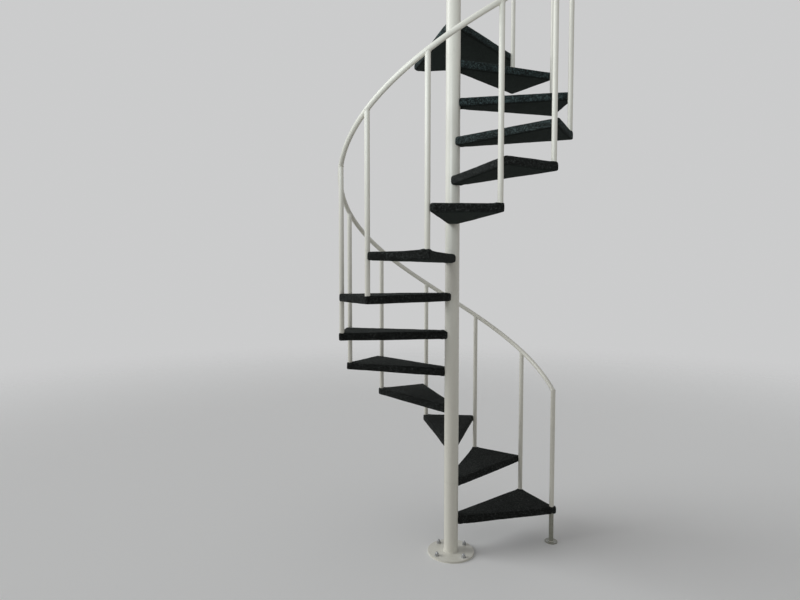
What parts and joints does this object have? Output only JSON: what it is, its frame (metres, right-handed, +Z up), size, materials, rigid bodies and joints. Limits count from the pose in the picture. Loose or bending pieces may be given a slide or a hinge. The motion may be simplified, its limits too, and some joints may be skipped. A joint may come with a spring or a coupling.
{
  "type": "spiral staircase",
  "caption": "Tight spiral staircase with carpeted wedge treads round a white steel post, one tube baluster per tread and a helical tube handrail.",
  "frame": {"origin": "on the centre post's axis at floor level, in the middle of the base plate's underside", "axes": "+Z up the post, +Y towards the upper floor that the landing meets, +X to the right of that; the stair climbs counter-clockwise seen from above"},
  "size_m": [1.2025, 1.2254, 3.4929],
  "materials": {
    "paint": "gloss off-white enamel",
    "carpet": "short charcoal carpet wrapped round each tread"
  },
  "bodies": {
    "root": {"base_plate": "paint", "centre_post": "paint", "post_cap": "paint", "tread_01": "carpet", "tread_02": "carpet", "tread_03": "carpet", "tread_04": "carpet", "tread_05": "carpet", "tread_06": "carpet", "tread_07": "carpet", "tread_08": "carpet", "tread_09": "carpet", "tread_10": "carpet", "tread_11": "carpet", "tread_12": "carpet", "tread_13": "carpet", "landing": "carpet", "first_tread_leg": "paint", "newel": "paint", "baluster_01": "paint", "baluster_02": "paint", "baluster_03": "paint", "baluster_04": "paint", "baluster_05": "paint", "baluster_06": "paint", "baluster_07": "paint", "baluster_08": "paint", "baluster_09": "paint", "baluster_10": "paint", "baluster_11": "paint", "baluster_12": "paint", "baluster_13": "paint", "handrail_01": "paint", "handrail_02": "paint", "handrail_03": "paint", "handrail_04": "paint", "handrail_05": "paint", "handrail_06": "paint", "handrail_07": "paint", "handrail_08": "paint", "handrail_09": "paint", "handrail_10": "paint", "handrail_11": "paint", "handrail_12": "paint", "handrail_13": "paint"}
  },
  "joints": []
}
